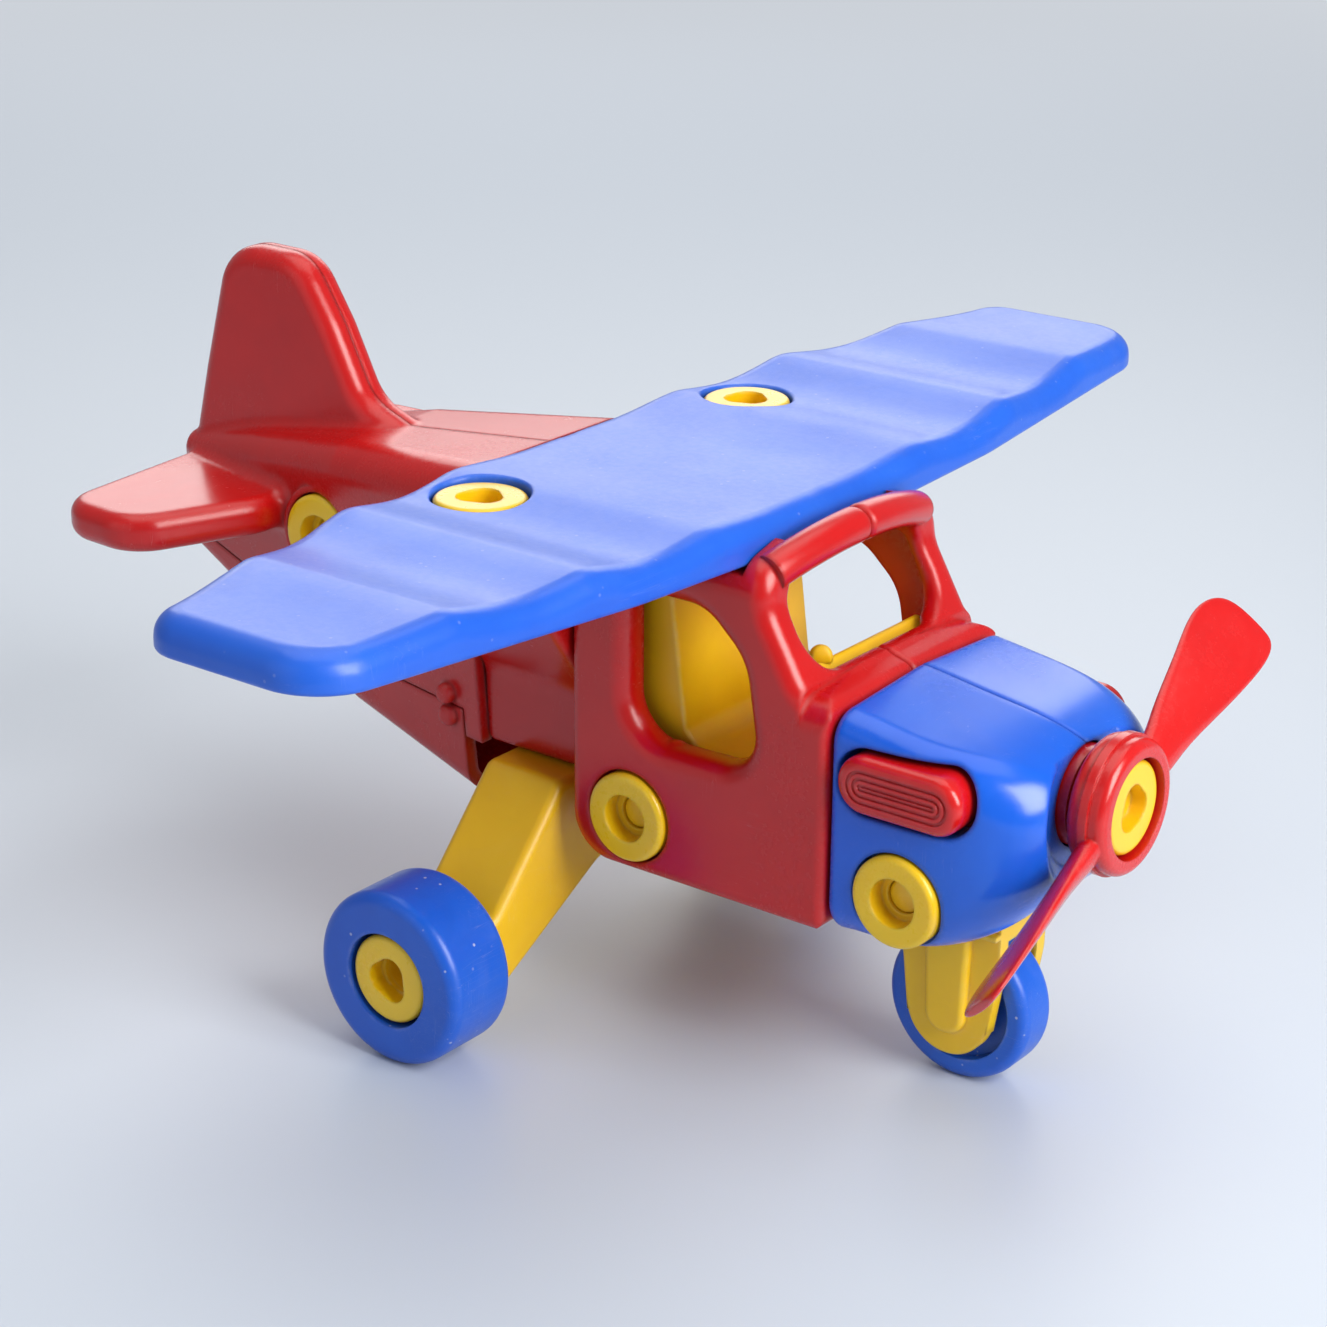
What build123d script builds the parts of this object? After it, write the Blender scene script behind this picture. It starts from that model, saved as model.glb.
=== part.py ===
from build123d import *
import os
from math import cos, sin, radians, pi, sqrt

# Screw-together toy airplane: high wing, tricycle gear, two-blade propeller.
# Millimetres, nose towards +X, port wing towards +Y, up +Z, wheels on Z = 0.
# Pieces are drawn with X = 0 at the main axle, then moved so X = 0 is mid length.
# Throughout, hand is +1 for port and -1 for starboard.

# ---------------- shared dimensions ----------------
MID_LENGTH_X = 5.4
HANDS = {"port": 1, "starboard": -1}

HEAD_R = 11.6         # all big screws share one head
HEAD_T = 6.0
SHANK_R = 7.0         # wheel and wing screws
PIN_R = 4.3           # cross screws and propeller screw
SLEEVE_R = 7.5        # sleeve nut of the cross screws
SOCKET_R = 6.6        # sets the size of the three-sided drive socket
POCKET_R = 12.25      # head pockets
POCKET_DEPTH = 4.6    # cross screw pockets in the shells
HEAD_PROUD = 1.4      # cross screw heads beyond the shell side
BOSS_R = 11.0         # round the cabin and cowl cross screws
CLEAR = 0.12          # general slip clearance
RUN = 0.06            # radial running clearance
SPLIT = 0.12          # half gap on the centre plane

WHEEL_R = 22.9        # main wheels
AXLE_Z = WHEEL_R
WHEEL_IN, WHEEL_OUT = 66.4, 88.2        # Y of the main wheel faces
WHEEL_RECESS = 6.8
NOSE_WHEEL_R, NOSE_WHEEL_HALF, NOSE_WHEEL_X = 20.0, 6.4, 114.4

WING_Z = 130.0        # underside of the wing at the centre
WING_T = 11.0
HALF_SPAN = 170.0
SLOPE = sin(radians(2.3))               # dihedral
WING_BOLT_X, WING_BOLT_Y = 4.0, 54.3
WING_SEAT_Z = WING_Z + 5.0              # shoulder under the wing screw head

# cross screws: (x, z)
CABIN_BOLT = (36.4, 59.8)
COWL_BOLT = (115.0, 59.6)
TAIL_BOLT = (-80.0, 104.6)

CABIN_X0, CABIN_X1, CABIN_W, CABIN_Z0 = 18.0, 95.0, 38.0, 45.4   # W is a half width
CEILING_Z = 124.5
ROOF_Z = 139.6        # top of the roof rail
COWL_X0, COWL_W = 95.4, 37.0
BANK_X, BANK_Z, BANK_LENGTH, BANK_HEIGHT = 115.6, 87.0, 34.0, 14.6   # engine window
BANK_Y = COWL_W + 2.6                   # outer face of the engine banks
FORK_X0, FORK_X1, FORK_W = 101.0, 128.6, 10.6

PROP_Z = 82.0
PROP_X0, PROP_X1 = 146.8, 157.2
PROP_HUB_R = 16.7
PROP_TIP = 67.0
PROP_ANGLE = 26.0
PROP_RECESS = 7.2
PROP_AXIS = Axis((0, 0, PROP_Z), (1, 0, 0))

TAIL_X1 = 17.4        # front of the tail shells
NOSE_BOX_X0 = -19.6
TAIL_BOLT_W = 23.4    # half width over the tail screw bosses

parts = {}


# ---------------- sketch and solid helpers ----------------
def rounded(corners):
    """face through (u, v[, radius]) corners, each rounded by its radius"""
    count = len(corners)
    points = [Vector(c[0], c[1], 0) for c in corners]
    radii = [c[2] if len(c) > 2 else 0.0 for c in corners]
    starts, ends, mids = [], [], []
    for i in range(count):
        before, corner, after = points[i - 1], points[i], points[(i + 1) % count]
        if radii[i] <= 0:
            starts.append(corner)
            ends.append(corner)
            mids.append(None)
            continue
        back, ahead = (before - corner).normalized(), (after - corner).normalized()
        cosine = max(-1, min(1, back.dot(ahead)))
        half_sin = sqrt((1 - cosine) / 2)
        half_cos = sqrt((1 + cosine) / 2)
        trim = radii[i] * half_cos / half_sin
        bisector = (back + ahead).normalized()
        centre = corner + bisector * (radii[i] / half_sin)
        starts.append(corner + back * trim)
        ends.append(corner + ahead * trim)
        mids.append(centre - bisector * radii[i])
    edges = []
    for i in range(count):
        if mids[i] is not None:
            edges.append(ThreePointArc(starts[i], mids[i], ends[i]))
        j = (i + 1) % count
        if (starts[j] - ends[i]).length > 1e-4:
            edges.append(Line(ends[i], starts[j]))
    return make_face(Curve() + edges)


def station(x, face):
    """face drawn as (y, z), placed at x"""
    return Plane(origin=(x, 0, 0), x_dir=(0, 1, 0), z_dir=(1, 0, 0)) * face


def prism_x(face, x0, x1):
    """profile drawn as (y, z), extruded from x0 to x1"""
    return extrude(station(x0, face), amount=x1 - x0, dir=(1, 0, 0))


def prism_y(face, y0, y1):
    """profile drawn as (x, z), extruded from y0 to y1"""
    placed = Plane(origin=(0, y0, 0), x_dir=(1, 0, 0), z_dir=(0, -1, 0)) * face
    return extrude(placed, amount=abs(y1 - y0), dir=(0, 1 if y1 > y0 else -1, 0))


def prism_z(face, z0, z1):
    """profile drawn as (x, y), extruded from z0 to z1"""
    return extrude(Pos(0, 0, z0) * face, amount=z1 - z0, dir=(0, 0, 1))


def rod_x(y, z, radius, x0, x1):
    return prism_x(Pos(y, z) * Circle(radius), x0, x1)


def rod_y(x, z, radius, y0, y1):
    return prism_y(Pos(x, z) * Circle(radius), y0, y1)


def rod_z(x, y, radius, z0, z1):
    return prism_z(Pos(x, y) * Circle(radius), z0, z1)


def box(x0, x1, y0, y1, z0, z1):
    centre = Pos((x0 + x1) / 2, (y0 + y1) / 2, (z0 + z1) / 2)
    return centre * Box(x1 - x0, y1 - y0, z1 - z0)


def mirror_y(shape):
    return mirror(shape, about=Plane.XZ)


def near(value, target, tolerance=0.1):
    return abs(value - target) < tolerance


def round_edges(shape, edges, radii):
    """round edges by the first radius that works; the shape as it was if none does"""
    for radius in radii:
        # the kernel may refuse a radius, or the edge list may be empty
        try:
            result = fillet(edges, radius)
            if result.is_valid and abs(result.volume) > 0:
                return result
        except Exception:
            pass
    return shape


def round_where(shape, radii, test):
    """round the edges that pass test(edge, x, y, z), given each edge's centre"""
    edges = []
    for edge in shape.edges():
        centre = edge.center()
        if test(edge, centre.X, centre.Y, centre.Z):
            edges.append(edge)
    return round_edges(shape, edges, radii)


def circles(shape):
    return shape.edges().filter_by(GeomType.CIRCLE)


def rings_pocket(edge, x, y, z):
    """whether an edge runs round a head pocket's mouth; None skips the pocket's own axis"""
    for t in (0.0, 0.25, 0.5, 0.75):
        point = edge.position_at(t)
        pairs = ((point.X, x), (point.Y, y), (point.Z, z))
        distance = sqrt(sum((a - b) ** 2 for a, b in pairs if b is not None))
        if abs(distance - POCKET_R - 0.1) > 0.35:
            return False
    return edge.length > 3


def main_solid(shape):
    return max(shape.solids(), key=lambda solid: solid.volume)


def keep(name, shape):
    parts[name] = Pos(-MID_LENGTH_X, 0, 0) * main_solid(shape)


# ---------------- fasteners: axis on Z, head top at 0, shank going down ----------------
def screw_head():
    head = rod_z(0, 0, HEAD_R, -HEAD_T, 0)
    return round_edges(head, circles(head).group_by(Axis.Z)[-1], [1.4, 1.0])


def drive_socket(depth):
    """rounded three-sided socket"""
    reach = SOCKET_R * 1.55
    angles = [radians(90 + 120 * k) for k in range(3)]
    corners = [(reach * cos(a), reach * sin(a), SOCKET_R * 0.62) for a in angles]
    return prism_z(rounded(corners), -depth, 1)


def round_tip(shank):
    return round_edges(shank, circles(shank).group_by(Axis.Z)[0], [0.8])


def thick_screw(length, socket_depth=4.2):
    """wheel or wing screw, bored a little way below the socket"""
    bore_end = -HEAD_T - 3.0
    head = screw_head() - drive_socket(socket_depth)
    head -= rod_z(0, 0, 5.0, bore_end, 0)
    shank = rod_z(0, 0, SHANK_R, -length, -HEAD_T)
    shank -= rod_z(0, 0, SHANK_R - 2.2, bore_end, 0)
    return head + round_tip(shank)


def pin_screw(length):
    head = screw_head() - drive_socket(4.2)
    return head + round_tip(rod_z(0, 0, PIN_R, -length, -HEAD_T))


def sleeve_nut(length):
    socket_depth = 3.4
    nut = screw_head()
    nut += rod_z(0, 0, SLEEVE_R, -length, -HEAD_T)
    nut -= drive_socket(socket_depth)
    nut -= rod_z(0, 0, 6.2, -socket_depth - 1.6, 0)
    nut -= rod_z(0, 0, PIN_R + CLEAR / 2, -length - 1, 0)
    return nut


def face_y(fastener, x, y, z, hand, spin):
    """turn a fastener's head outwards along hand * Y"""
    plane = Plane(origin=(x, y, z), x_dir=(1, 0, 0), z_dir=(0, hand, 0))
    return plane.location * (Rot(0, 0, spin) * fastener)


def keep_cross_pair(name, bolt, half_width):
    """sleeve nut on the starboard side, long screw from the port side"""
    x, z = bolt
    y = half_width + HEAD_PROUD
    keep(name + "_nut", face_y(sleeve_nut(y - 2.0), x, -y, z, -1, 25))
    keep(name + "_screw", face_y(pin_screw(2 * y - 5.5), x, y, z, 1, -25))


def add_cross_seats(shell, bolt, half_width, boss_inner, boss_outer, tolerance, radii):
    """bosses, head pockets with softened mouths, and the through bore of a cross screw"""
    x, z = bolt
    shell += (rod_y(x, z, BOSS_R, -boss_outer, -boss_inner)
              + rod_y(x, z, BOSS_R, boss_inner, boss_outer))
    for hand in (1, -1):
        shell -= rod_y(x, z, POCKET_R, hand * (half_width - POCKET_DEPTH),
                       hand * (half_width + 5))
        shell = round_where(shell, radii, lambda edge, _x, y, _z: (
            rings_pocket(edge, x, None, z) and near(y, hand * half_width, tolerance)))
    return shell - rod_y(x, z, SLEEVE_R + CLEAR, -60, 60)


# ---------------- wing ----------------
RIDGES = [44.0, 87.0, 130.0]            # |y| of the soft ribs across the top
TROUGH_DEPTH = 2.2


def wing_top_z(y):
    """height of the top skin: a faint middle trough, then three deeper ones a side"""
    a = abs(y)
    ridge_z = WING_Z + WING_T + a * SLOPE - 0.3
    if a < RIDGES[0]:
        return ridge_z - 0.6 * 0.5 * (1 - cos(2 * pi * a / RIDGES[0]))
    bounds = RIDGES + [HALF_SPAN + 16]
    k = sum(a > ridge for ridge in RIDGES[1:])
    t = (a - bounds[k]) / (bounds[k + 1] - bounds[k])
    depth = TROUGH_DEPTH * (1.0 if k < 2 else 0.75)
    return ridge_z - depth * (sin(pi * t) ** 2) ** 0.62


def wing_slab(top_offset, bottom_offset, outline):
    """wavy-topped slab with dihedral, trimmed to a plan outline"""
    reach = HALF_SPAN + 6
    bend = 6.0                          # half width of the arc under the centre
    stations = [-reach + 2 * reach * i / 92 for i in range(93)]
    top = Spline(*[(y, wing_top_z(y) + top_offset) for y in stations])
    floor_z = WING_Z + bottom_offset
    top_z = wing_top_z(reach) + top_offset
    tip_z = floor_z + reach * SLOPE
    bend_z = floor_z + bend * SLOPE
    bottom = [
        Line((reach, top_z), (reach, tip_z)),
        Line((reach, tip_z), (bend, bend_z)),
        ThreePointArc((bend, bend_z), (0, floor_z + bend * SLOPE / 2), (-bend, bend_z)),
        Line((-bend, bend_z), (-reach, tip_z)),
        Line((-reach, tip_z), (-reach, top_z)),
    ]
    profile = make_face(Curve() + [top] + bottom)
    return prism_x(profile, -40, 90) & prism_z(outline, 100, 170)


def planform(inset):
    half = [  # port half: x, y, corner radius
        (68.5 - inset, 74, 60),
        (60.5 - inset, HALF_SPAN - inset, 16 - inset * 0.6),
        (9.0 + inset, HALF_SPAN - inset, 11 - inset * 0.5),
        (-12.0 + inset, 92, 70),
        (-16.5 + inset, 46, 50),
    ]
    return rounded(half + [(x, -y, radius) for x, y, radius in reversed(half)])


def make_wing():
    def height(y, z):
        return z - abs(y) * SLOPE - WING_Z

    wing = wing_slab(0, 0, planform(0))
    upright = [edge for edge in wing.edges() if abs(edge.tangent_at(0.5).Z) > 0.8]
    wing = round_where(wing, [6.0, 5.4, 4.6, 3.6, 2.6], lambda edge, x, y, z: (
        edge not in upright and height(y, z) > 5))
    # all of the lower rim, but not the chordwise lines near the centre
    wing = round_where(wing, [1.2, 0.7], lambda edge, x, y, z: (
        height(y, z) < 0.8
        and not (abs(edge.tangent_at(0.5).X) > 0.98 and edge.length > 70 and abs(y) < 20)))

    # hollow of the port side, leaving a screw post and a web under each ridge
    hollow = wing_slab(-3.6, -1, planform(7.5)) & box(-30, 90, 0, 200, 100, 170)
    hollow -= rod_z(WING_BOLT_X, WING_BOLT_Y, POCKET_R + 3.2, 100, 170)
    for ridge in RIDGES:
        hollow -= box(-30, 90, ridge - 1.2, ridge + 1.2, 100, 170)
    hollow -= box(-30, 90, 0, 39.5, 100, 170)
    wing = wing - hollow - mirror_y(hollow)

    for hand in (1, -1):
        bolt_y = hand * WING_BOLT_Y
        wing -= rod_z(WING_BOLT_X, bolt_y, POCKET_R, WING_SEAT_Z, 170)
        wing = round_where(wing, [0.9, 0.5], lambda edge, x, y, z: (
            rings_pocket(edge, WING_BOLT_X, bolt_y, None) and z > WING_Z + 9))
        wing -= rod_z(WING_BOLT_X, bolt_y, SHANK_R + CLEAR, 100, 170)
    return wing


keep("wing", make_wing())
for side, hand in HANDS.items():
    place = Pos(WING_BOLT_X, hand * WING_BOLT_Y, WING_SEAT_Z + HEAD_T + 0.02)
    keep("wing_screw_" + side, place * (Rot(0, 0, 20) * thick_screw(32.0)))


# ---------------- cabin ----------------
def cabin_block():
    """solid outside shape of the cabin"""
    x0, x1, width, z0 = CABIN_X0, CABIN_X1, CABIN_W, CABIN_Z0

    def at_side(y, tolerance):
        return near(abs(y), width, tolerance)

    cabin = prism_y(rounded([
        (x0, z0, 12), (x1, z0, 4), (x1, 102.6, 4), (87.0, 105.0, 5), (77.2, 122, 14),
        (75.6, ROOF_Z, 3.0), (69.4, ROOF_Z, 2.6), (69.0, WING_Z - 0.15),
        (x0, WING_Z - 0.15, 1.5)]), -width, width)
    tub = prism_y(rounded([(x0, z0, 12), (x1, z0), (x1, 170), (x0, 170)]), -width, width)
    tub = round_where(tub, [2.8, 2.2], lambda edge, x, y, z: (
        at_side(y, 0.1) and x < 90 and z < 160))
    tub = round_where(tub, [2.2, 1.6], lambda edge, x, y, z: near(x, x1) and at_side(y, 0.1))
    cross_section = prism_x(rounded([
        (-width, z0 - 1), (width, z0 - 1), (width, ROOF_Z - 7.6, 10), (18, ROOF_Z - 2.0, 40),
        (-18, ROOF_Z - 2.0, 40), (-width, ROOF_Z - 7.6, 10)]), 0, 120)
    crown = prism_x(rounded([
        (-width, z0 - 1), (width, z0 - 1), (width, 103.2, 8), (0, 106.2, 60),
        (-width, 103.2, 8)]), 87.0, 120)
    cabin &= cross_section
    cabin &= crown + box(0, 87.0, -60, 60, 30, 160)
    cabin &= tub
    cabin = round_where(cabin, [5.0, 4.0, 3.0, 2.0], lambda edge, x, y, z: (
        at_side(y, 0.3) and x > 74 and 104 < z < 124))
    return round_where(cabin, [2.2, 1.5], lambda edge, x, y, z: (
        at_side(y, 0.3) and x > 68 and z > 98))


def cut_windows(cabin):
    """hollow the cabin, then open the windscreen and the fat-rimmed side windows"""
    x0, x1, floor_z = CABIN_X0 + 6, CABIN_X1 - 6, CABIN_Z0 + 5
    inside = rounded([
        (x0, floor_z, 7), (x1, floor_z, 3), (x1, 98, 3), (81, 103, 3), (71, CEILING_Z, 3),
        (x0, CEILING_Z, 2)])
    cabin -= prism_y(inside, -CABIN_W + 7.5, CABIN_W - 7.5)
    cabin -= prism_x(rounded([
        (-29.0, 105.4, 10), (29.0, 105.4, 10), (27.5, 131.5, 10), (-27.5, 131.5, 10)]), 66, 93.0)
    cabin -= prism_y(rounded([
        (35.5, 80.0, 12), (74.0, 81.0, 9), (69.5, 108.5, 15), (58, 119.0, 13),
        (35.5, 119.0, 5)]), -60, 60)
    cabin = round_where(cabin, [5.0, 4.0, 3.0, 2.0, 1.0], lambda edge, x, y, z: (
        near(abs(y), CABIN_W, 0.4) and 34 < x < 76 and 79 < z < 120))
    return round_where(cabin, [2.2, 1.5, 0.9], lambda edge, x, y, z: (
        abs(y) < CABIN_W - 6 and 77 < x < 96 and 106.5 < z < 134 and edge.length > 3))


def make_cabin_half():
    cabin = cut_windows(cabin_block())

    # roof rail: a fat round tube, arched up and bowed forward
    cabin -= box(60, 90, -23.5, 23.5, 126, 150)
    rail_end_z = ROOF_Z - 9.4
    path = ThreePointArc((73.2, -31.0, rail_end_z), (76.6, 0, ROOF_Z - 4.5),
                         (73.2, 31.0, rail_end_z))
    rail_start = Plane(origin=path @ 0, x_dir=(1, 0, 0), z_dir=path % 0)
    cabin += sweep(rail_start * Ellipse(4.9, 4.5), path)

    # rear opening that takes the nose of the tail shell
    cabin -= box(CABIN_X0 - 1, CABIN_X0 + 7, -26.0, 26.0, 61.0, CEILING_Z)
    cabin -= box(CABIN_X0 - 1, CABIN_X0 + 7, -31.0, 31.0, CABIN_Z0 - 1, 62.0)
    # clearance for the gear tongue, and bulkhead opening into the cowl
    cabin -= box(CABIN_X0 - 1, 50, -19.6, 19.6, 51.2, 62.0)
    cabin -= box(CABIN_X1 - 7, CABIN_X1 + 1, -24.0, 24.0, 60.0, 94.0)

    cabin -= rod_y(*CABIN_BOLT, 11.4, -19.6, 19.6)
    cabin = add_cross_seats(cabin, CABIN_BOLT, CABIN_W, boss_inner=20, boss_outer=CABIN_W - 6,
                            tolerance=1.0, radii=[0.7, 0.4])
    cabin &= box(0, 120, -60, 60, CABIN_Z0 - 1, 150)

    # round inner lug below each side window
    for hand in (1, -1):
        lug = Pos(46.5, hand * (CABIN_W - 6.2), 76.6) * Sphere(4.4)
        reach = sorted((hand * (CABIN_W - 16), hand * (CABIN_W - 1.6)))
        cabin += lug & box(36, 60, *reach, 70, 82)

    # port half, with softened ends where the rail and the front edge meet the other half
    half = cabin & box(0, 120, SPLIT, 60, 0, 200)
    half = round_where(half, [1.6, 1.0, 0.5], lambda edge, x, y, z: (
        near(y, SPLIT, 0.01) and x > 68 and z > 126))
    return round_where(half, [1.3, 0.8, 0.5], lambda edge, x, y, z: (
        near(y, SPLIT, 0.01) and x > 84 and z > 99.5))


cabin_half = make_cabin_half()
keep("cabin_shell_port", cabin_half)
keep("cabin_shell_starboard", mirror_y(cabin_half))
keep_cross_pair("cabin", CABIN_BOLT, CABIN_W)

# ---------------- cowl ----------------
COWL_STATIONS = [  # x, half width, bottom z, top z, bottom radius, top radius
    (COWL_X0, COWL_W, 45.0, 104.2, 7.5, 7.5),
    (110, COWL_W, 45.6, 102.2, 8.5, 7.5),
    (124, 36.6, 47.4, 100.2, 11, 8.5),
    (135.5, 34.4, 52.6, 98.0, 15, 11.5),
    (143.5, 29.6, 60.6, 95.0, 14, 12.5),
    (148.2, 21.5, 70.5, 91.6, 9.5, 8.5),
]


def cowl_section(x, width, bottom, top, bottom_r, top_r):
    """crowned, rounded cross-section of the nose"""
    return station(x, rounded([
        (-width, bottom, bottom_r), (width, bottom, bottom_r), (width, top - 2.2, top_r),
        (0, top, 40), (-width, top - 2.2, top_r)])).face()


def propeller_bowl():
    """bowl round the propeller hub, drawn as (radius, x) and spun about its axis"""
    floor_x, floor_r, rim_x, rim_r, end_x = 142.6, 17.3, 150.4, 32.0, 160.0
    profile = make_face(Curve() + [
        Line((0, floor_x), (floor_r, floor_x)),
        Spline((floor_r, floor_x), (20.0, 144.2), (24.5, 147.4), (rim_r, rim_x),
               tangents=[(0.6, 1.0), (1.0, 0.25)]),
        Line((rim_r, rim_x), (rim_r, end_x)),
        Line((rim_r, end_x), (0, end_x)),
        Line((0, end_x), (0, floor_x)),
    ])
    plane = Plane(origin=(0, 0, PROP_Z), x_dir=(0, 1, 0), z_dir=(0, 0, -1))
    return revolve(plane * profile, PROP_AXIS, 360)


def make_cowl_half():
    cowl = loft([cowl_section(*row) for row in COWL_STATIONS])
    cowl = round_edges(cowl, cowl.faces().sort_by(Axis.X)[0].edges(), [2.6, 1.8, 1.0])

    # hollow, with a sloping front floor, and openings through both ends
    rear_x, front_x = COWL_X0 + 4, 134.6
    rooms = (box(rear_x, 122.0, -29.6, 29.6, 51.5, 94.6)
             + box(121.0, front_x, -26.6, 26.6, 51.5, 94.0))
    cowl -= rooms & prism_y(rounded([
        (rear_x, 51.5, 2), (120, 51.5, 6), (front_x, 62, 6), (front_x, 95.6, 6),
        (rear_x, 95.6, 2)]), -60, 60)
    cowl -= box(134.5, 140.5, -17.0, 17.0, 66.0, 90.0)
    cowl -= box(COWL_X0 - 1, COWL_X0 + 5, -24.0, 24.0, 60.0, 94.0)

    # the bowl cuts through the brow and leaves two cheeks
    cowl -= propeller_bowl()
    cowl = round_where(cowl, [2.2, 1.5, 0.8], lambda edge, x, y, z: (
        x > 143.2 and edge.length > 12 and edge.geom_type != GeomType.CIRCLE))
    cowl -= rod_x(0, PROP_Z, 13.0, 130, 170)

    window = Pos(BANK_X, BANK_Z) * SlotOverall(BANK_LENGTH + 2.8, BANK_HEIGHT + 2.4)
    cowl -= prism_y(window, -60, 60)
    cowl = round_where(cowl, [1.2, 0.8, 0.4], lambda edge, x, y, z: (
        near(abs(y), COWL_W, 2.0) and near(z, BANK_Z, 12) and 95.8 < x < 138))

    cowl = add_cross_seats(cowl, COWL_BOLT, COWL_W, boss_inner=18, boss_outer=COWL_W - 4,
                           tolerance=1.5, radii=[0.6, 0.35])
    # slot in the floor for the fork stem
    cowl -= box(FORK_X0 - CLEAR, FORK_X1 + CLEAR, -FORK_W - CLEAR, FORK_W + CLEAR, 40, 54)
    half = cowl & box(80, 170, SPLIT, 60, 0, 200)
    return round_where(half, [0.8, 0.5], lambda edge, x, y, z: (
        near(y, SPLIT, 0.01) and z > 99 and edge.length > 20))


cowl_half = make_cowl_half()
keep("cowl_shell_port", cowl_half)
keep("cowl_shell_starboard", mirror_y(cowl_half))
keep_cross_pair("cowl", COWL_BOLT, COWL_W)


# ---------------- engine ----------------
def make_engine():
    rear_x, front_x, top_z = 100.2, 134, 93.4
    engine = box(rear_x, front_x, -26, 26, 76, top_z)
    engine &= prism_y(rounded([
        (rear_x, 76, 3), (front_x, 76, 4), (front_x, 92, 4), (rear_x, top_z, 3)]), -40, 40)
    line = 1.5                          # groove width setting: slot size step
    for hand in (1, -1):
        bank = prism_y(Pos(BANK_X, BANK_Z) * SlotOverall(BANK_LENGTH, BANK_HEIGHT),
                       hand * 20, hand * BANK_Y)
        engine += round_where(bank, [2.6, 2.0], lambda edge, x, y, z: near(abs(y), BANK_Y, 0.2))
        # three nested slot-shaped grooves in the outer face
        for step in (6.2, 9.6, 12.8):
            length, height = BANK_LENGTH - step, BANK_HEIGHT - step
            ring = Pos(BANK_X, BANK_Z) * (
                SlotOverall(length, height) - SlotOverall(length - line, height - line))
            engine -= prism_y(ring, hand * (BANK_Y - 0.5), hand * (BANK_Y + 0.4))
    engine += rod_x(0, PROP_Z, 12.4, 131, 145.0)
    return engine - rod_x(0, PROP_Z, PIN_R + CLEAR / 2, 112, 160)


keep("engine", make_engine())

# ---------------- propeller ----------------
BLADE_STATIONS = [  # radius, width, thickness, pitch in degrees, x, slide along the chord
    (14.2, 10.5, 6.4, 26, 152.4, 0.0),
    (24.0, 12.6, 5.2, 32, 152.4, 0.4),
    (38.0, 17.2, 4.2, 37, 152.4, 1.0),
    (51.0, 21.4, 3.5, 40, 152.2, 1.2),
    (60.0, 21.6, 3.0, 41, 152.0, 0.6),
    (64.6, 18.0, 2.6, 41, 152.0, -0.4),
    (PROP_TIP - 0.4, 10.5, 1.8, 41, 152.0, -1.6),
]


def blade_section(radius, width, thickness, pitch, x, slide):
    """elliptical section on the +Y spoke, twisted by pitch"""
    plane = Plane(origin=(x, radius, PROP_Z), x_dir=(0, 0, 1), z_dir=(0, 1, 0))
    ellipse = Ellipse(width / 2, thickness / 2)
    return (plane * (Rot(0, 0, -pitch) * Pos(slide, 0) * ellipse)).face()


def make_propeller():
    hub = rod_x(0, PROP_Z, PROP_HUB_R, PROP_X0, PROP_X1)
    hub = round_edges(hub, circles(hub), [2.4, 1.6])
    hub += rod_x(0, PROP_Z, PROP_HUB_R + 0.7, PROP_X0 + 3.9, PROP_X0 + 6.3)
    blade = loft([blade_section(*row) for row in BLADE_STATIONS])
    blade = round_edges(blade, blade.edges().group_by(Axis.Y)[-1], [0.7, 0.4])
    first = blade.rotate(PROP_AXIS, PROP_ANGLE)
    second = blade.rotate(PROP_AXIS, PROP_ANGLE + 180)
    propeller = hub + first + second
    # blade roots
    propeller = round_where(propeller, [1.2, 0.7, 0.4], lambda edge, x, y, z: (
        edge.length > 12 and edge.geom_type not in (GeomType.CIRCLE, GeomType.LINE)
        and 15.6 < sqrt(y ** 2 + (z - PROP_Z) ** 2) < 18.5))
    propeller -= rod_x(0, PROP_Z, 12.5, PROP_X1 - PROP_RECESS, PROP_X1 + 20)
    return propeller - rod_x(0, PROP_Z, PIN_R + RUN, 130, 170)


keep("propeller", make_propeller())
screw_plane = Plane(origin=(PROP_X1 - PROP_RECESS + HEAD_T + 0.05, 0, PROP_Z),
                    x_dir=(0, 1, 0), z_dir=(1, 0, 0))
keep("propeller_screw", screw_plane.location * (Rot(0, 0, 15) * pin_screw(40.0)))


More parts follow.
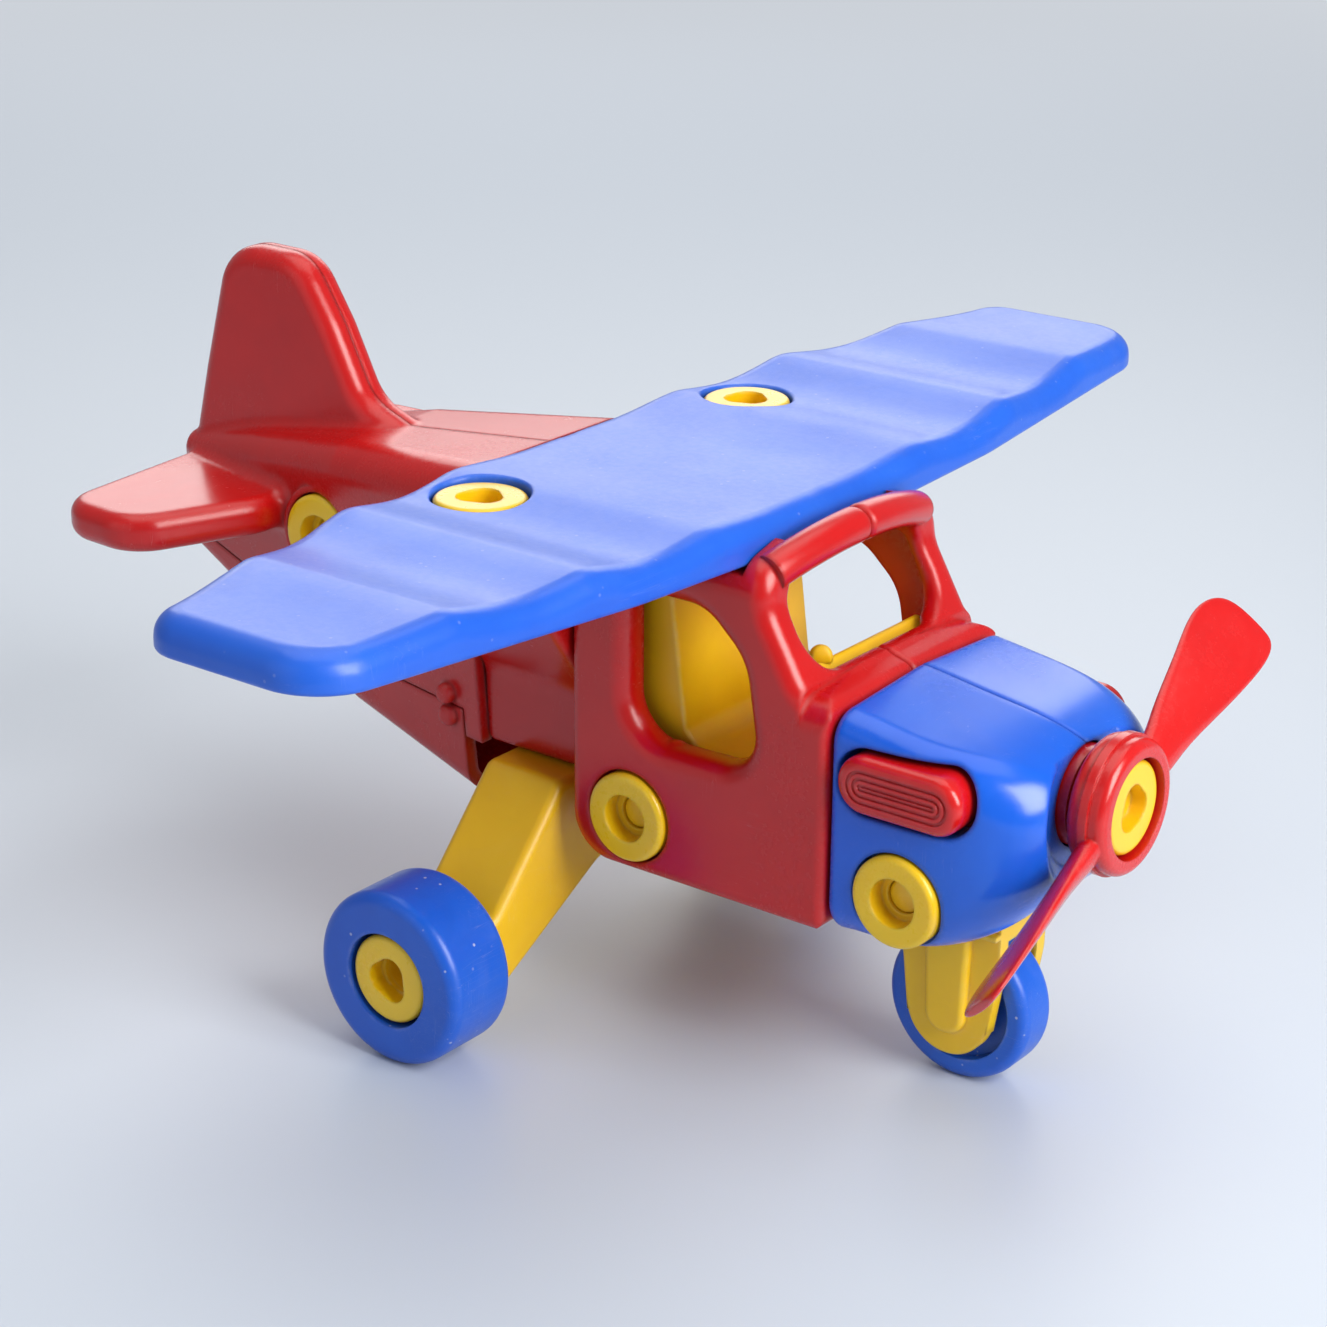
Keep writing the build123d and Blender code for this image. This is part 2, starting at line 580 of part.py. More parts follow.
# ---------------- nose gear ----------------
def make_nose_fork():
    x, z = NOSE_WHEEL_X, NOSE_WHEEL_R
    collar_top, rib_y = 44.9, 12.6
    fork = box(FORK_X0, FORK_X1, -FORK_W, FORK_W, 41.8, 52.0)
    fork += box(FORK_X0, FORK_X1, -13.0, 13.0, 43.6, collar_top)
    leg_profile = rounded([
        (FORK_X0, collar_top), (FORK_X0, 34, 20), (x - 11.4, z - 3.0, 3),
        (x - 11.4, z - 11.4, 11.3), (x + 11.4, z - 11.4, 11.3), (x + 11.4, z - 3.0, 3),
        (FORK_X1, 34, 20), (FORK_X1, collar_top)])
    rib_profile = rounded([
        (x - 6.5, 42.0), (x - 5.5, z - 5.5, 5.4), (x + 5.5, z - 5.5, 5.4), (x + 6.5, 42.0)])
    for hand in (1, -1):
        leg = prism_y(leg_profile, hand * 6.9, hand * FORK_W)
        leg = round_where(leg, [1.6, 1.0], lambda edge, _x, y, z: (
            near(abs(y), FORK_W) and z < 40))
        rib = prism_y(rib_profile, hand * 10.0, hand * rib_y)
        rib = round_where(rib, [1.6, 1.0], lambda edge, _x, y, z: (
            near(abs(y), rib_y) and z < 41))
        leg = leg + rib
        axle_stub = rod_y(x, z, 4.0, hand * 2.2, hand * 7.5)
        fork = fork + leg + axle_stub
    return fork - rod_y(*COWL_BOLT, SLEEVE_R + 0.6, -30, 30)


def make_nose_wheel():
    x, z = NOSE_WHEEL_X, NOSE_WHEEL_R
    wheel = rod_y(x, z, NOSE_WHEEL_R, -NOSE_WHEEL_HALF, NOSE_WHEEL_HALF)
    wheel = round_edges(wheel, circles(wheel), [2.6, 1.8])
    for hand in (1, -1):
        wheel -= rod_y(x, z, 14.6, hand * 3.4, hand * 10)
    return wheel - rod_y(x, z, 4.0 + RUN, -20, 20)


keep("nose_fork", make_nose_fork())
keep("nose_wheel", make_nose_wheel())


# ---------------- main gear ----------------
def make_main_gear():
    end_y, half_length, tongue_w = WHEEL_IN - 0.6, 12.8, 19.2
    gear = prism_x(rounded([
        (-34.6, 61.6, 4), (34.6, 61.6, 4), (61.0, 32.5, 8), (end_y, 31.0, 3),
        (end_y, 12.2, 3), (58.5, 12.2, 5), (18.0, 35.0, 14), (-18.0, 35.0, 14),
        (-58.5, 12.2, 5), (-end_y, 12.2, 3), (-end_y, 31.0, 3), (-61.0, 32.5, 8),
    ]), -half_length, half_length)
    gear = round_where(gear, [2.6, 2.0, 1.2], lambda edge, x, y, z: (
        near(abs(x), half_length) and edge.length > 3))
    # tongue that reaches forward into the cabin and takes the cabin screw
    gear += box(10, 48, -tongue_w, tongue_w, 51.6, 61.4)
    gear += rod_y(*CABIN_BOLT, BOSS_R, -tongue_w, tongue_w)
    gear -= rod_y(*CABIN_BOLT, SLEEVE_R + CLEAR, -60, 60)
    for hand in (1, -1):
        gear -= rod_y(0, AXLE_Z, SHANK_R + CLEAR, hand * 40, hand * 80)
    return gear


def make_main_wheel(hand):
    wheel = rod_y(0, AXLE_Z, WHEEL_R, hand * WHEEL_IN, hand * WHEEL_OUT)
    wheel = round_edges(wheel, circles(wheel), [3.2, 2.2])
    wheel -= rod_y(0, AXLE_Z, 12.5, hand * (WHEEL_OUT - WHEEL_RECESS), hand * (WHEEL_OUT + 5))
    return wheel - rod_y(0, AXLE_Z, SHANK_R + RUN, hand * 40, hand * 120)


keep("main_gear", make_main_gear())
for side, hand in HANDS.items():
    keep("main_wheel_" + side, make_main_wheel(hand))
    head_y = hand * (WHEEL_OUT - WHEEL_RECESS + HEAD_T + 0.05)
    wheel_screw = thick_screw(37.0, socket_depth=4.6)
    keep("wheel_screw_" + side, face_y(wheel_screw, 0, head_y, AXLE_Z, hand, 25 * hand))

# ---------------- tail ----------------
TAIL_STATIONS = [  # x, half width top, half width bottom, bottom z, top z, bottom r, top r
    (-148, 8.0, 7.0, 84.5, 117.4, 5.0, 5.0),
    (-118, 15.6, 11.5, 71.0, 124.2, 7, 8),
    (-74, 26.6, 18.5, 55.2, 131.8, 8, 9),
    (-19.5, 36.4, 26.0, 42.6, 137.4, 8, 10),
]


def tail_hull(inset):
    """tapered hull; the narrow rear end moves forward and is inset less across"""
    sections = []
    for i, (x, top_w, bottom_w, bottom, top, bottom_r, top_r) in enumerate(TAIL_STATIONS):
        forward, across, corner = (inset, inset * 0.75, inset * 0.9) if i == 0 else (
            0, inset, inset)
        low, high = bottom + inset, top - inset
        sections.append(station(x + forward, rounded([
            (-(bottom_w - across), low, bottom_r - corner),
            (bottom_w - across, low, bottom_r - corner),
            (top_w - across, high, top_r - corner),
            (-(top_w - across), high, top_r - corner)])).face())
    return loft(sections, ruled=True)


def finned_hull():
    """solid hull with fin and stabilisers"""
    body = tail_hull(0.0)
    body = round_edges(body, body.faces().sort_by(Axis.X)[0].edges(), [3.4, 2.4])
    fin = prism_y(rounded([
        (-146.0, 106), (-146.0, 117, 6), (-140.6, 138, 60), (-130.2, 174.4, 15),
        (-101.8, 174.2, 14), (-90.5, 157, 30), (-80.5, 137.5, 14), (-62, 130.5),
        (-62, 120)]), -6.6, 6.6)
    for face_index in (-1, 0):
        fin = round_edges(fin, fin.faces().sort_by(Axis.Y)[face_index].edges(), [5.0, 4.4, 3.6])
    hull = body + fin
    hull = round_where(hull, [3.4, 2.6, 1.8, 1.0], lambda edge, x, y, z: (
        4.0 < abs(y) < 8.6 and -140 < x < -62 and 118 < z < 136 and edge.length > 6))

    low, high = 102.8, 113.4
    stabiliser = prism_z(rounded([
        (-144.5, 0), (-144.5, 12, 6), (-139.5, 63.5, 13), (-109.5, 65.2, 15),
        (-95.2, 30, 20), (-94.6, 0)]), low, high)
    stabiliser = round_where(stabiliser, [4.2, 3.4, 2.4], lambda edge, x, y, z: (
        y > 10 and (near(z, high) or near(z, low))))
    hull = hull + stabiliser + mirror_y(stabiliser)
    return round_where(hull, [4.0, 3.0, 2.0, 1.2], lambda edge, x, y, z: (
        7.0 < abs(y) < 24 and -146 < x < -92 and 101.5 < z < 114.5 and edge.length > 8))


def make_tail(hollow):
    """whole tail before it is parted into shells and tray"""
    hull = finned_hull()

    # nose box under the wing, with flared shoulders that take the wing screws
    top_z = WING_Z - 0.2
    nose_box = prism_x(rounded([
        (-26.2, 61.9, 3), (26.2, 61.9, 3), (27.5, 84, 12), (46, 109, 16), (70, 122.5, 5),
        (70, top_z + 1.9, 1), (-70, top_z + 1.9, 1), (-70, 122.5, 5), (-46, 109, 16),
        (-27.5, 84, 12)]), NOSE_BOX_X0, TAIL_X1)
    nose_box = round_where(nose_box, [2.0, 1.2, 0.6], lambda edge, x, y, z: (
        near(x, TAIL_X1) or near(x, NOSE_BOX_X0)))
    under_wing = prism_x(rounded([
        (-80, 50), (80, 50), (80, top_z + 80 * SLOPE), (0, top_z),
        (-80, top_z + 80 * SLOPE)]), -60, TAIL_X1 + 10)
    nose_box &= under_wing
    nose_room = prism_x(rounded([
        (-22.6, 65.5, 2), (22.6, 65.5, 2), (23.5, 86, 6), (38, 108, 6), (40, 112, 3),
        (40, 126, 2), (-40, 126, 2), (-40, 112, 3), (-38, 108, 6), (-23.5, 86, 6),
    ]), -16.0, TAIL_X1 - 4)
    nose_room += box(-24, -14, -21.0, 21.0, 66.0, 124.0)
    tail = hull + nose_box
    tail -= hollow
    tail -= nose_room
    # clear the space of the gear block
    tail -= box(-26.4, TAIL_X1 + 1, -45, 45, 30, 61.8)

    # cross screw bosses and pockets
    boss_limits = prism_y(rounded([(-94.6, 70), (-60, 70), (-60, 126), (-94.6, 126)]), -30, 30)
    for hand in (1, -1):
        boss = rod_y(*TAIL_BOLT, 14.2, hand * 8.0, hand * TAIL_BOLT_W) & boss_limits
        tail += round_where(boss, [1.0, 0.6], lambda edge, x, y, z: near(abs(y), TAIL_BOLT_W))
        tail -= rod_y(*TAIL_BOLT, POCKET_R, hand * (TAIL_BOLT_W - POCKET_DEPTH),
                      hand * (TAIL_BOLT_W + 25))
    tail -= rod_y(*TAIL_BOLT, SLEEVE_R + CLEAR, -60, 60)

    # screw bosses under the wing shoulders
    boss_limits = prism_y(rounded([(-30, 60), (TAIL_X1, 60), (TAIL_X1, 140), (-30, 140)]), -90, 90)
    for hand in (1, -1):
        bolt_y = hand * WING_BOLT_Y
        tail += (rod_z(WING_BOLT_X, bolt_y, 12.0, 114, WING_Z + 1.5) & under_wing
                 & boss_limits)
        tail -= rod_z(WING_BOLT_X, bolt_y, SHANK_R + CLEAR, 108.0, 140)
    return tail & box(-170, TAIL_X1, -90, 90, 30, 190)


def seam_lug(x, y, z, radius, length, limits):
    """short round lug lying along Y, trimmed by a box"""
    lug = Pos(x, y, z) * (Rot(90, 0, 0) * Cylinder(radius, length))
    return round_edges(lug, circles(lug), [1.6, 1.0]) & limits


def make_tail_pieces():
    """starboard upper shell, and the belly tray behind the gear and below the seam"""
    hollow = tail_hull(3.6)
    tail = make_tail(hollow)
    tray_zone = prism_y(rounded([
        (-170, 20), (-26.6, 20), (-26.6, 69.4), (-62, 70.5), (-170, 96)]), -60, 60)
    seam_cut = prism_y(rounded([
        (-170, 10), (-26.0, 10), (-26.0, 69.9), (-62, 71.0), (-170, 96.5)]), -60, 60)
    belly = tail & tray_zone
    upper = tail - seam_cut
    belly = main_solid(belly)
    # lugs on either side of the seam
    for hand in (1, -1):
        upper += seam_lug(-31.5, hand * 28.0, 73.1, 2.8, 5.0,
                          box(-45, -24, -40, 40, 70.5, 82)) - hollow
        belly += seam_lug(-32.0, hand * 26.2, 66.4, 3.0, 5.4,
                          box(-45, -26.7, -40, 40, 58, 69.0)) - hollow
    return upper & box(-170, 30, -90, -SPLIT, 0, 200), belly


tail_half, belly_tray = make_tail_pieces()
keep("tail_shell_starboard", tail_half)
keep("tail_shell_port", mirror_y(main_solid(tail_half)))
keep("belly_tray", belly_tray)
keep_cross_pair("tail", TAIL_BOLT, TAIL_BOLT_W)


# ---------------- cockpit liner: seat back, bench and dash ----------------
def make_cockpit_liner():
    width = 27.0
    liner = prism_y(rounded([
        (26.5, 71.5, 2), (52, 71.5), (87.8, 71.5, 2), (87.8, 95.6, 2), (78.6, 104.4, 1.2),
        (75.8, 104.4, 1.2), (82.0, 94.5, 2), (82.0, 78, 5), (50, 78, 6), (46.0, 82, 3),
        (40.5, 123.8, 3), (31.5, 123.8, 3)]), -width, width)
    liner = round_where(liner, [1.6, 1.0], lambda edge, x, y, z: (
        near(abs(y), width) and edge.length > 8))
    liner -= prism_y(rounded([(34, 75), (42, 75), (37.0, 119), (34, 119)]), -23.5, 23.5)
    # small ball on top of the dash, starboard side
    ball = Pos(76.6, -14.0, 105.0) * Sphere(2.9)
    return liner + (ball & box(60, 90, -20, 0, 100, 110))


keep("cockpit_liner", make_cockpit_liner())

# ---------------- export ----------------
os.makedirs("parts", exist_ok=True)
for name, solid in parts.items():
    export_step(solid, "parts/" + name + ".step")
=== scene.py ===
"""A toy aeroplane in moulded plastic: red, blue and yellow pieces on a pale floor.

Metres, +Z up. The toy is near the origin, above the floor at z = 0. The camera looks
down on it from the +X, -Y side. The pieces keep their CAD meshes and only get materials.
"""
import bpy
from mathutils import Matrix, Vector

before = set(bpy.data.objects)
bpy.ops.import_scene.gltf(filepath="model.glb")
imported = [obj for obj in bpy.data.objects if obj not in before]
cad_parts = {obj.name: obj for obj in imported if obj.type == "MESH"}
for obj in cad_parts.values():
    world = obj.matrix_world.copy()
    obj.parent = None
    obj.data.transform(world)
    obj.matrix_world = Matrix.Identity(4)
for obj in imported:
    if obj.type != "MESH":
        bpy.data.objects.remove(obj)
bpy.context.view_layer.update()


# ---------------------------------------------------------------- node helpers
def srgb(*channels):
    """Linear RGBA from sRGB channels of 0-255."""
    linear = []
    for value in channels:
        value /= 255.0
        linear.append(value / 12.92 if value <= 0.04045 else ((value + 0.055) / 1.055) ** 2.4)
    return (*linear, 1.0)


class Graph:
    """The emptied node tree of a material or world, with its output node."""

    def __init__(self, owner, output_kind):
        owner.use_nodes = True
        self.tree = owner.node_tree
        self.tree.nodes.clear()
        self.output = self.add(output_kind)

    def put(self, socket, value):
        """Link a socket, or set a plain value."""
        if hasattr(value, "is_linked"):
            self.tree.links.new(value, socket)
        else:
            socket.default_value = value

    def add(self, kind, inputs=None, **settings):
        node = self.tree.nodes.new("ShaderNode" + kind)
        for key, value in settings.items():
            setattr(node, key, value)
        for key, value in (inputs or {}).items():
            self.put(node.inputs[key], value)
        return node

    def finish(self, shader):
        self.put(self.output.inputs["Surface"], shader.outputs[0])


class MaterialGraph(Graph):
    """A new material, textured in object coordinates."""

    def __init__(self, name):
        self.material = bpy.data.materials.new(name)
        super().__init__(self.material, "OutputMaterial")
        self.coord = self.add("TexCoord").outputs["Object"]

    def mapped(self, scale, rotation):
        inputs = {"Vector": self.coord, "Scale": scale, "Rotation": rotation}
        return self.add("Mapping", inputs).outputs["Vector"]

    def noise(self, scale, detail=3.0, roughness=0.5, distortion=0.0, vector=None):
        return self.add("TexNoise", {
            "Vector": vector or self.coord, "Scale": scale, "Detail": detail,
            "Roughness": roughness, "Distortion": distortion}).outputs["Fac"]

    def voronoi(self, scale, output):
        return self.add("TexVoronoi", {"Vector": self.coord, "Scale": scale}).outputs[output]

    def ramp(self, value, start, end, low=0.0, high=1.0):
        """Smooth step from low at start to high at end."""
        return self.add("MapRange", {
            "Value": value, "From Min": start, "From Max": end,
            "To Min": low, "To Max": high}, interpolation_type="SMOOTHSTEP").outputs["Result"]

    def patches(self, start, end, low=0.0, high=1.0, **noise):
        """Noise pushed through a ramp."""
        return self.ramp(self.noise(**noise), start, end, low, high)

    def math(self, operation, first, second=0.0):
        return self.add("Math", {0: first, 1: second}, operation=operation).outputs[0]

    def multiply(self, first, second):
        return self.math("MULTIPLY", first, second)

    def contour(self, value, level, width):
        """Thin line where the value crosses the level."""
        offset = self.math("ABSOLUTE", self.math("SUBTRACT", value, level))
        return self.ramp(offset, start=0.0, end=width, low=1.0, high=0.0)

    def mix(self, factor, first, second):
        # sockets 6 and 7 are the colour inputs, output 2 the colour result
        node = self.add("Mix", data_type="RGBA")
        self.put(node.inputs["Factor"], factor)
        self.put(node.inputs[6], first)
        self.put(node.inputs[7], second)
        return node.outputs[2]

    def tint(self, color, mask, amount, toward):
        """Shift a colour toward another where the mask is set."""
        return self.mix(self.multiply(mask, amount), color, toward)

    def bump(self, height, strength, distance, normal):
        return self.add("Bump", {
            "Strength": strength, "Distance": distance,
            "Height": height, "Normal": normal}).outputs["Normal"]


# ---------------------------------------------------------------- plastic
# stretched noise for each scratch direction: (scale, rotation)
SCRATCH_DIRECTIONS = (
    ((9, 260, 260), (0.3, 0.2, 0.7)),
    ((240, 12, 240), (0.1, -0.5, 0.4)),
    ((200, 200, 10), (0.6, 0.4, -0.3)),
)
WORN_WHITE = (0.92, 0.9, 0.88, 1)
# near-black brown that the painted shade in corners darkens toward
SHADE_BROWN = (0.03, 0.025, 0.02, 1)
SPECK_WHITE = (0.80, 0.80, 0.76, 1)
SPECK_SCALE = 420


def hairline_scratches(graph):
    """Fine lines in three directions, only in patches."""
    lines = []
    for index, (scale, rotation) in enumerate(SCRATCH_DIRECTIONS):
        streaks = graph.noise(scale=2.2, detail=2, distortion=0.25,
                              vector=graph.mapped(scale, rotation))
        line = graph.contour(streaks, level=0.52 - 0.02 * index, width=0.006)
        patch = graph.patches(0.55, 0.68, scale=26 + 9 * index, detail=2)
        lines.append(graph.multiply(line, patch))
    return graph.math("MAXIMUM", graph.math("MAXIMUM", lines[0], lines[1]), lines[2])


def worn_edges(graph):
    """Edges, found where the rounded normal leaves the true one, broken up by noise."""
    rounded = graph.add("Bevel", {"Radius": 0.0014}, samples=2)
    true = graph.add("NewGeometry")
    agreement = graph.add("VectorMath", {0: rounded.outputs["Normal"], 1: true.outputs["Normal"]},
                          operation="DOT_PRODUCT").outputs["Value"]
    edge = graph.ramp(agreement, start=0.995, end=0.93)
    return graph.multiply(edge, graph.patches(0.42, 0.66, scale=120, detail=5, roughness=0.7))


def scuff_marks(graph):
    """Wandering dark marks with a broken outline."""
    wander = graph.noise(scale=18, detail=3, roughness=0.6, distortion=2.2,
                         vector=graph.mapped(scale=(1.0, 2.6, 1.4), rotation=(0.2, 0.5, 0.9)))
    line = graph.contour(wander, level=0.61, width=0.010)
    return graph.multiply(line, graph.patches(0.45, 0.62, scale=160, detail=4, roughness=0.7))


def painted_corner_shade(graph):
    """Painted shade in the corners, from ambient occlusion, made uneven by noise."""
    occlusion = graph.add("AmbientOcclusion", {"Distance": 0.006}, samples=3).outputs["AO"]
    corners = graph.ramp(occlusion, start=0.35, end=0.85, low=1.0, high=0.0)
    return graph.multiply(corners, graph.patches(0.3, 0.6, low=0.35, scale=90, detail=4,
                                                 roughness=0.6))


def pale_specks(graph):
    """Small dots in a random few of the Voronoi cells."""
    distance = graph.voronoi(SPECK_SCALE, "Distance")
    cell = graph.add("SeparateColor", {0: graph.voronoi(SPECK_SCALE, "Color")}).outputs[0]
    chosen = graph.ramp(cell, start=0.86, end=0.9)
    return graph.multiply(graph.ramp(distance, start=0.10, end=0.22, low=1.0, high=0.0), chosen)


def plastic(name, base, light, dark, rough, wear, painted_shade, scuffs, sss, sss_radius, coat,
            grain=0.25, specks=0.0, bevel=0.0007):
    """Moulded plastic.

    base, light, dark: drifting colours; rough: mean roughness; wear: pale edges;
    painted_shade: painted shade in corners; scuffs: scratches, rubbing and marks;
    sss: subsurface weight; grain: fine bump; specks: pale dots; bevel: radius of the rounded
    edges.
    """
    graph = MaterialGraph(name)

    # colour drift of the melt, and faint cloudy marbling
    drift = graph.patches(0.32, 0.68, scale=14, detail=4, roughness=0.55, distortion=0.6)
    cloud = graph.patches(0.35, 0.7, scale=70, detail=5, roughness=0.6, distortion=1.2)
    color = graph.mix(drift, base, light)
    color = graph.tint(color, cloud, amount=0.07, toward=dark)

    # wear, dust specks, and painted shade in the corners
    scratch = hairline_scratches(graph)
    rubbed = graph.patches(0.56, 0.74, scale=34, detail=6, roughness=0.65, distortion=0.8)
    edge = worn_edges(graph)
    worn = graph.mix(0.55, light, WORN_WHITE)
    color = graph.tint(color, edge, amount=wear, toward=worn)
    color = graph.tint(color, scratch, amount=0.22 * scuffs, toward=worn)
    color = graph.tint(color, rubbed, amount=0.05 * scuffs, toward=worn)
    color = graph.tint(color, scuff_marks(graph), amount=0.14 * scuffs, toward=dark)
    # painted shade: colour darkened toward near-black brown where ambient occlusion finds corners
    shade_mask = painted_corner_shade(graph)
    color = graph.tint(color, shade_mask, amount=painted_shade, toward=graph.mix(0.6, dark, SHADE_BROWN))
    if specks > 0:
        color = graph.tint(color, pale_specks(graph), amount=specks, toward=SPECK_WHITE)

    # roughness: slow drift, plus the amount each mask adds
    roughness = graph.patches(0.3, 0.7, low=rough - 0.03, high=rough + 0.04,
                              scale=22, detail=4, roughness=0.6)
    fine = graph.patches(0.3, 0.7, scale=520, detail=3, roughness=0.6)
    for mask, amount in ((fine, 0.05), (scratch, 0.22 * scuffs), (rubbed, 0.16 * scuffs),
                         (edge, 0.25 * wear), (shade_mask, 0.15)):
        roughness = graph.math("ADD", roughness, graph.multiply(mask, amount))

    # bump: soft waviness of the moulding, fine grain, scratches
    normal = graph.add("Bevel", {"Radius": bevel}, samples=4).outputs["Normal"]
    waves = graph.noise(scale=28, detail=2, roughness=0.4)
    normal = graph.bump(waves, strength=0.12, distance=0.0009, normal=normal)
    grains = graph.noise(scale=1500, detail=4, roughness=0.65)
    normal = graph.bump(grains, strength=grain, distance=0.00006, normal=normal)
    grooves = graph.math("SUBTRACT", 1.0, scratch)
    normal = graph.bump(grooves, strength=0.35 * scuffs, distance=0.00008, normal=normal)

    graph.finish(graph.add("BsdfPrincipled", {
        "Base Color": color, "Roughness": roughness, "Normal": normal, "IOR": 1.5,
        "Subsurface Weight": sss, "Subsurface Radius": sss_radius, "Subsurface Scale": 0.004,
        "Coat Weight": coat, "Coat Roughness": 0.18}))
    return graph.material


# ---------------------------------------------------------------- materials
# how far red, green and blue light scatters in each plastic
RED_SCATTER = (1.0, 0.12, 0.08)
BLUE_SCATTER = (0.15, 0.35, 1.0)
YELLOW_SCATTER = (1.0, 0.7, 0.1)

RED = plastic(
    "gloss_plastic_red", base=srgb(202, 10, 10), light=srgb(210, 14, 11), dark=srgb(144, 4, 8),
    rough=0.21, grain=0.06, wear=0.10, painted_shade=0.22, scuffs=0.22,
    sss=0.12, sss_radius=RED_SCATTER, coat=0.35, bevel=0.0006)
RED_SHELL = plastic(
    "gloss_plastic_red_shells",
    base=srgb(194, 9, 10), light=srgb(204, 13, 10), dark=srgb(138, 4, 8),
    rough=0.21, grain=0.05, wear=0.05, painted_shade=0.28, scuffs=0.22,
    sss=0.12, sss_radius=RED_SCATTER, coat=0.25, bevel=0.0022)
BLUE_WING = plastic(
    "satin_plastic_blue_wing",
    base=srgb(18, 92, 212), light=srgb(26, 100, 220), dark=srgb(8, 66, 170),
    rough=0.34, grain=0.3, wear=0.16, painted_shade=0.22, specks=0.10, scuffs=0.45,
    sss=0.08, sss_radius=BLUE_SCATTER, coat=0.25, bevel=0.0012)
BLUE = plastic(
    "gloss_plastic_blue", base=srgb(4, 90, 214), light=srgb(10, 98, 222), dark=srgb(2, 60, 164),
    rough=0.21, grain=0.06, wear=0.06, painted_shade=0.24, scuffs=0.2,
    sss=0.08, sss_radius=BLUE_SCATTER, coat=0.3, bevel=0.0020)
BLUE_WHEEL = plastic(
    "plastic_blue_wheels", base=srgb(6, 84, 198), light=srgb(16, 94, 208), dark=srgb(4, 54, 144),
    rough=0.33, grain=0.4, wear=0.35, painted_shade=0.34, specks=0.45, scuffs=0.6,
    sss=0.08, sss_radius=BLUE_SCATTER, coat=0.15)
YELLOW = plastic(
    "gloss_plastic_yellow",
    base=srgb(244, 196, 8), light=srgb(248, 204, 14), dark=srgb(212, 152, 6),
    rough=0.26, wear=0.2, painted_shade=0.22, scuffs=0.28,
    sss=0.2, sss_radius=YELLOW_SCATTER, coat=0.3, bevel=0.0009)
YELLOW_SOFT = plastic(
    "satin_plastic_yellow_gear",
    base=srgb(238, 186, 10), light=srgb(244, 196, 18), dark=srgb(202, 144, 10),
    rough=0.32, grain=0.35, wear=0.25, painted_shade=0.28, scuffs=0.4,
    sss=0.2, sss_radius=YELLOW_SCATTER, coat=0.15, bevel=0.0010)

# (start of the piece name, material); every other piece is gloss yellow
PREFIX_LOOKS = (
    ("cowl_shell", BLUE), ("main_wheel", BLUE_WHEEL),
    ("tail_shell", RED_SHELL), ("cabin_shell", RED_SHELL), ("belly", RED_SHELL),
)
EXACT_LOOKS = {
    "wing": BLUE_WING, "nose_wheel": BLUE_WHEEL, "propeller": RED, "engine": RED,
    "main_gear": YELLOW_SOFT, "nose_fork": YELLOW_SOFT, "cockpit_liner": YELLOW_SOFT,
}


def look_of(piece):
    for prefix, material in PREFIX_LOOKS:
        if piece.startswith(prefix):
            return material
    return EXACT_LOOKS.get(piece, YELLOW)


for piece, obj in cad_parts.items():
    obj.data.materials.clear()
    obj.data.materials.append(look_of(piece))

# ---------------------------------------------------------------- stage
scene = bpy.context.scene
FLOOR_HALF = 6.0
BACKDROP_COLOR = (0.80, 0.84, 0.90, 1)
BACKDROP_SEEN = 0.86  # strength for the camera
BACKDROP_LIT = 0.36  # strength of the light it casts


def add_object(name, data):
    obj = bpy.data.objects.new(name, data)
    scene.collection.objects.link(obj)
    return obj


def floor_material():
    """Pale floor that fades into the backdrop far away, for the camera only."""
    graph = MaterialGraph("pale_floor")
    surface = graph.add("BsdfPrincipled", {
        "Base Color": (0.58, 0.64, 0.72, 1), "Roughness": 0.42})
    distance = graph.add("VectorMath", {0: graph.coord}, operation="LENGTH").outputs["Value"]
    fade = graph.ramp(distance, start=0.55, end=2.2)
    seen = graph.add("LightPath").outputs["Is Camera Ray"]
    glow = graph.add("Emission", {"Color": BACKDROP_COLOR, "Strength": BACKDROP_SEEN})
    graph.finish(graph.add("MixShader", {
        0: graph.multiply(fade, seen), 1: surface.outputs["BSDF"], 2: glow.outputs[0]}))
    return graph.material


half = FLOOR_HALF
mesh = bpy.data.meshes.new("floor")
mesh.from_pydata([(-half, -half, 0), (half, -half, 0), (half, half, 0), (-half, half, 0)],
                 [], [(0, 1, 2, 3)])
floor = add_object("floor", mesh)
mesh.materials.append(floor_material())

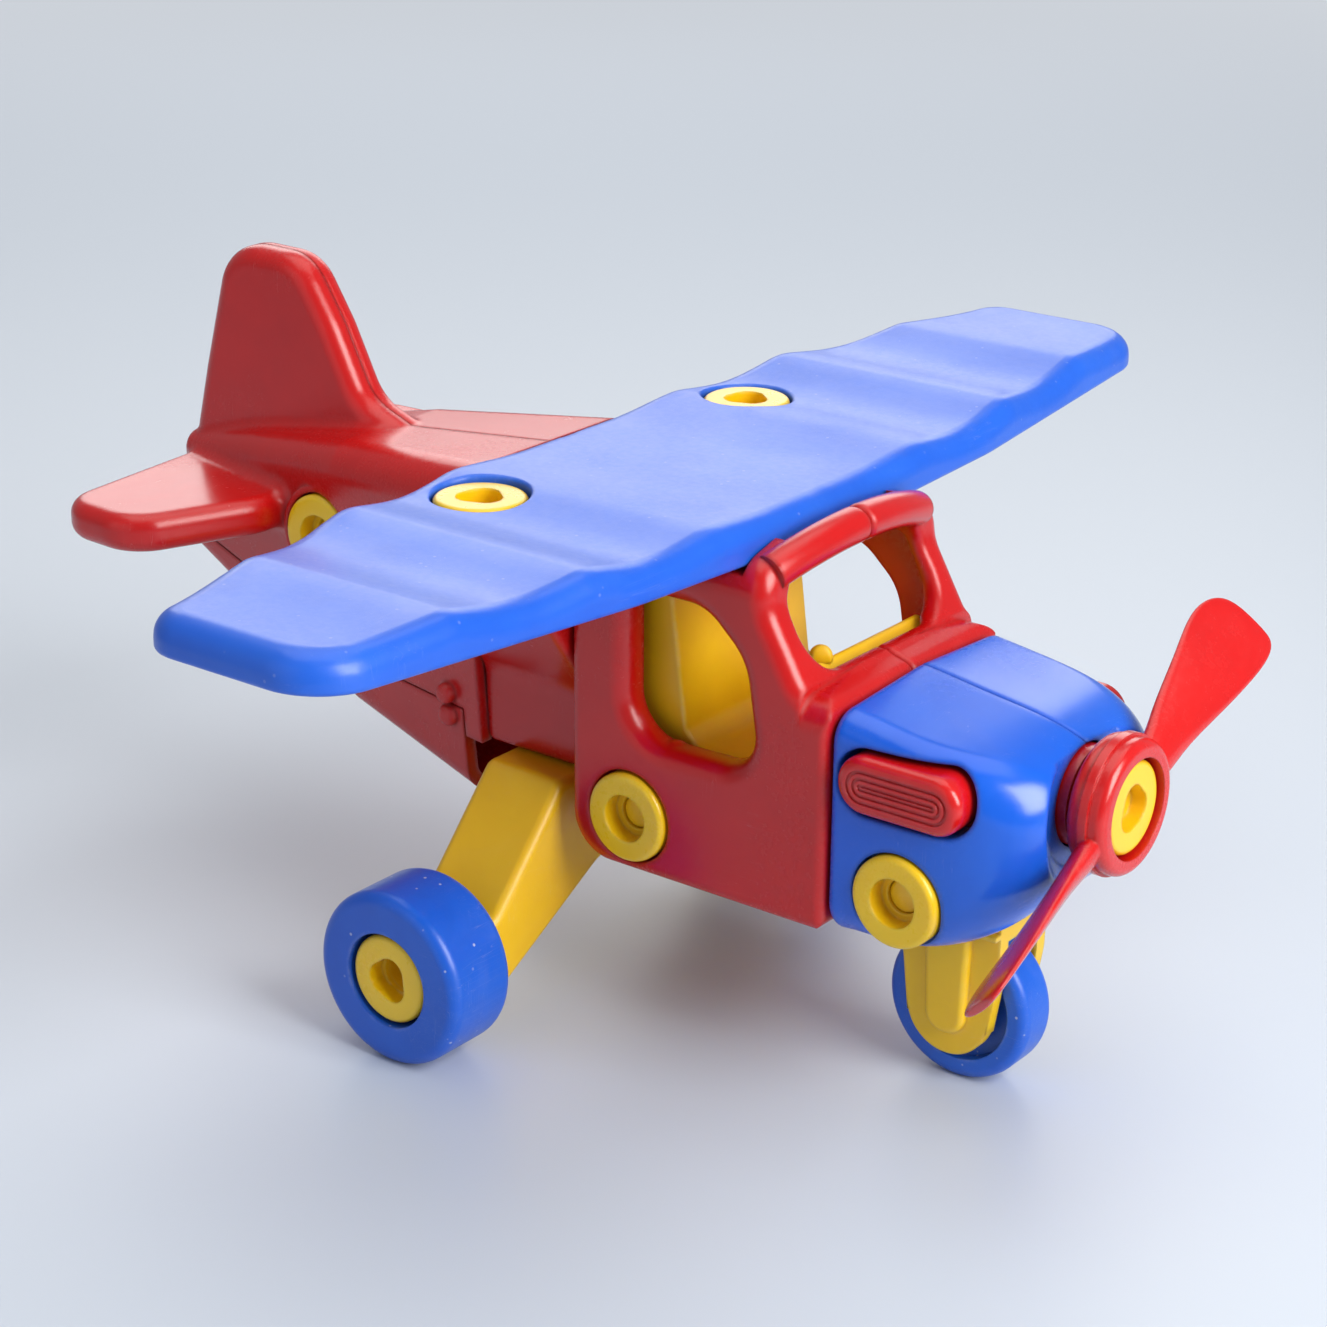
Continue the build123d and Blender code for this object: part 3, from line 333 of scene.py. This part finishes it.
# the world looks brighter to the camera than it lights the toy
world = scene.world or bpy.data.worlds.new("studio")
scene.world = world
sky = Graph(world, "OutputWorld")
strength = sky.add("MapRange", {
    "Value": sky.add("LightPath").outputs["Is Camera Ray"],
    "To Min": BACKDROP_LIT, "To Max": BACKDROP_SEEN}).outputs["Result"]
sky.finish(sky.add("Background", {"Color": BACKDROP_COLOR, "Strength": strength}))

# ---------------------------------------------------------------- lights
LIGHT_TARGET = Vector((0.0, 0.0, 0.09))
# name, place, (size x, size y), watts, colour
LIGHTS = (
    ("key_window", (0.95, -0.10, 0.62), (0.55, 0.75), 12.5, (1.0, 0.98, 0.95)),
    ("top_soft", (-0.10, 0.10, 1.3), (1.2, 1.2), 6.6, (1.0, 0.97, 0.92)),
    ("back_sheen", (-0.95, 1.15, 0.75), (1.4, 0.8), 7.5, (1.0, 0.98, 0.96)),
    ("fill_left", (-0.3, -1.3, 0.55), (1.2, 1.2), 1.7, (0.90, 0.94, 1.0)),
)
for name, place, (size_x, size_y), watts, color in LIGHTS:
    lamp = bpy.data.lights.new(name, "AREA")
    lamp.energy = watts
    lamp.color = color
    lamp.shape = "RECTANGLE"
    lamp.size = size_x
    lamp.size_y = size_y
    light = add_object(name, lamp)
    light.location = place
    light.rotation_euler = (LIGHT_TARGET - Vector(place)).to_track_quat("-Z", "Y").to_euler()

# ---------------------------------------------------------------- camera
SENSOR_MM = 36.0
LENS_MM = 81.387888
CAMERA_PLACE = (0.450669, -0.573026, 0.364558)
CAMERA_RIGHT = (0.792897, 0.609314, 0.007118)
CAMERA_UP = (-0.225694, 0.282805, 0.932246)
CAMERA_BACK = (0.566017, -0.740782, 0.361754)

lens = bpy.data.cameras.new("camera")
lens.sensor_width = SENSOR_MM
lens.sensor_height = SENSOR_MM
lens.sensor_fit = "HORIZONTAL"
lens.lens = LENS_MM
lens.clip_start = 0.02
lens.clip_end = 50
camera = add_object("camera", lens)
pose = Matrix((CAMERA_RIGHT, CAMERA_UP, CAMERA_BACK)).transposed().to_4x4()
pose.translation = CAMERA_PLACE
camera.matrix_world = pose
scene.camera = camera

# ---------------------------------------------------------------- finish
# guards against a colour configuration that has no Standard view
try:
    scene.view_settings.view_transform = "Standard"
except TypeError:
    pass
